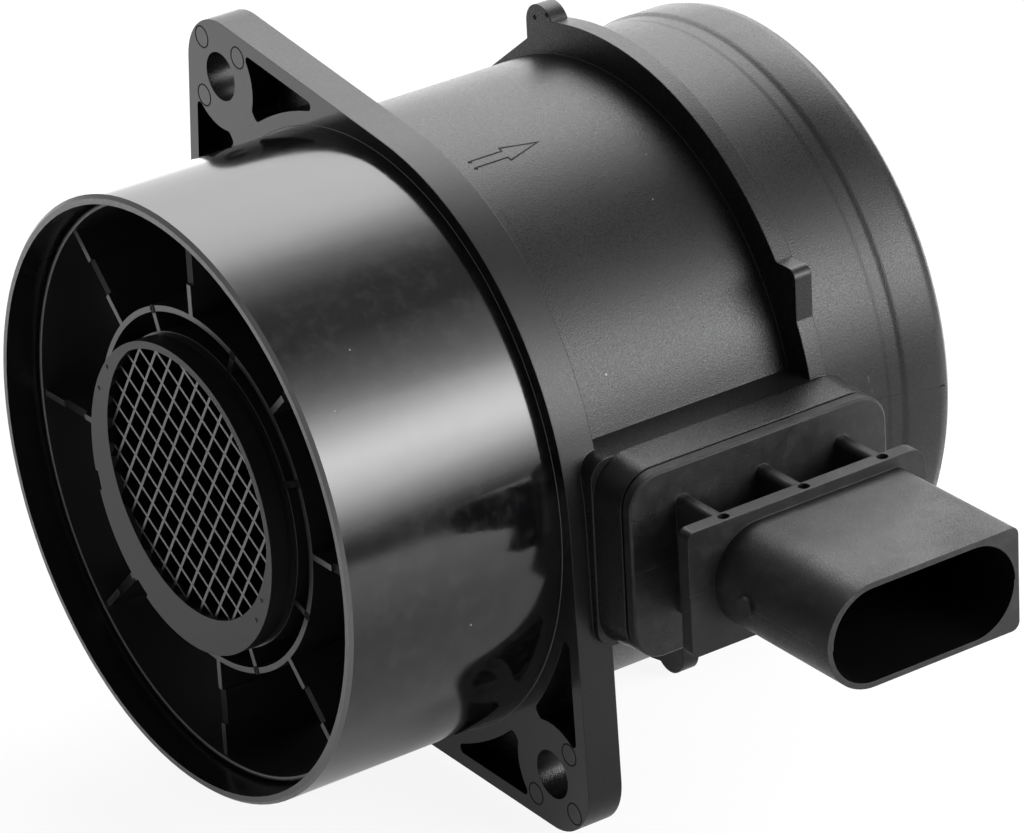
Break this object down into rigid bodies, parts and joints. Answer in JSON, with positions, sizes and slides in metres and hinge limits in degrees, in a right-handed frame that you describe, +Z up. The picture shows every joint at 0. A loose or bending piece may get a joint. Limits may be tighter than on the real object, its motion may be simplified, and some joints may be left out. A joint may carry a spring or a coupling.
{
  "type": "mass air flow sensor",
  "caption": "Plastic air duct with a two-lobed flange, spoked inlet guide, lattice flow grid and a plug-in sensor with a flat connector shroud.",
  "frame": {"origin": "centre of the inlet rim, on the duct's axis", "axes": "+Y along the duct in the direction of the air flow, +X towards the connector, +Z up"},
  "size_m": [0.1237, 0.0945, 0.0906],
  "materials": {
    "black_plastic": "satin",
    "grey_plastic": "satin",
    "grid_plastic": "satin",
    "sensor_plastic": "satin",
    "seal_rubber": "matte",
    "aluminium": "satin",
    "ceramic": "matte",
    "chip": "matte",
    "glass_strip": "gloss",
    "bead": "gloss",
    "tin_plated_brass": "satin"
  },
  "bodies": {
    "root": {"housing": "black_plastic", "inlet_guide": "grey_plastic", "flow_grid": "grid_plastic", "sensor_carrier": "sensor_plastic", "port_seal": "seal_rubber", "electronics_cover": "sensor_plastic", "channel_cover": "sensor_plastic", "base_plate": "aluminium", "circuit_board": "ceramic", "evaluation_chip": "chip", "sensor_chip": "glass_strip", "intake_thermistor": "bead", "terminal_1": "tin_plated_brass", "terminal_2": "tin_plated_brass", "terminal_3": "tin_plated_brass", "terminal_4": "tin_plated_brass", "terminal_5": "tin_plated_brass", "capacitor_1": "ceramic", "capacitor_2": "ceramic", "capacitor_3": "ceramic"}
  },
  "joints": []
}
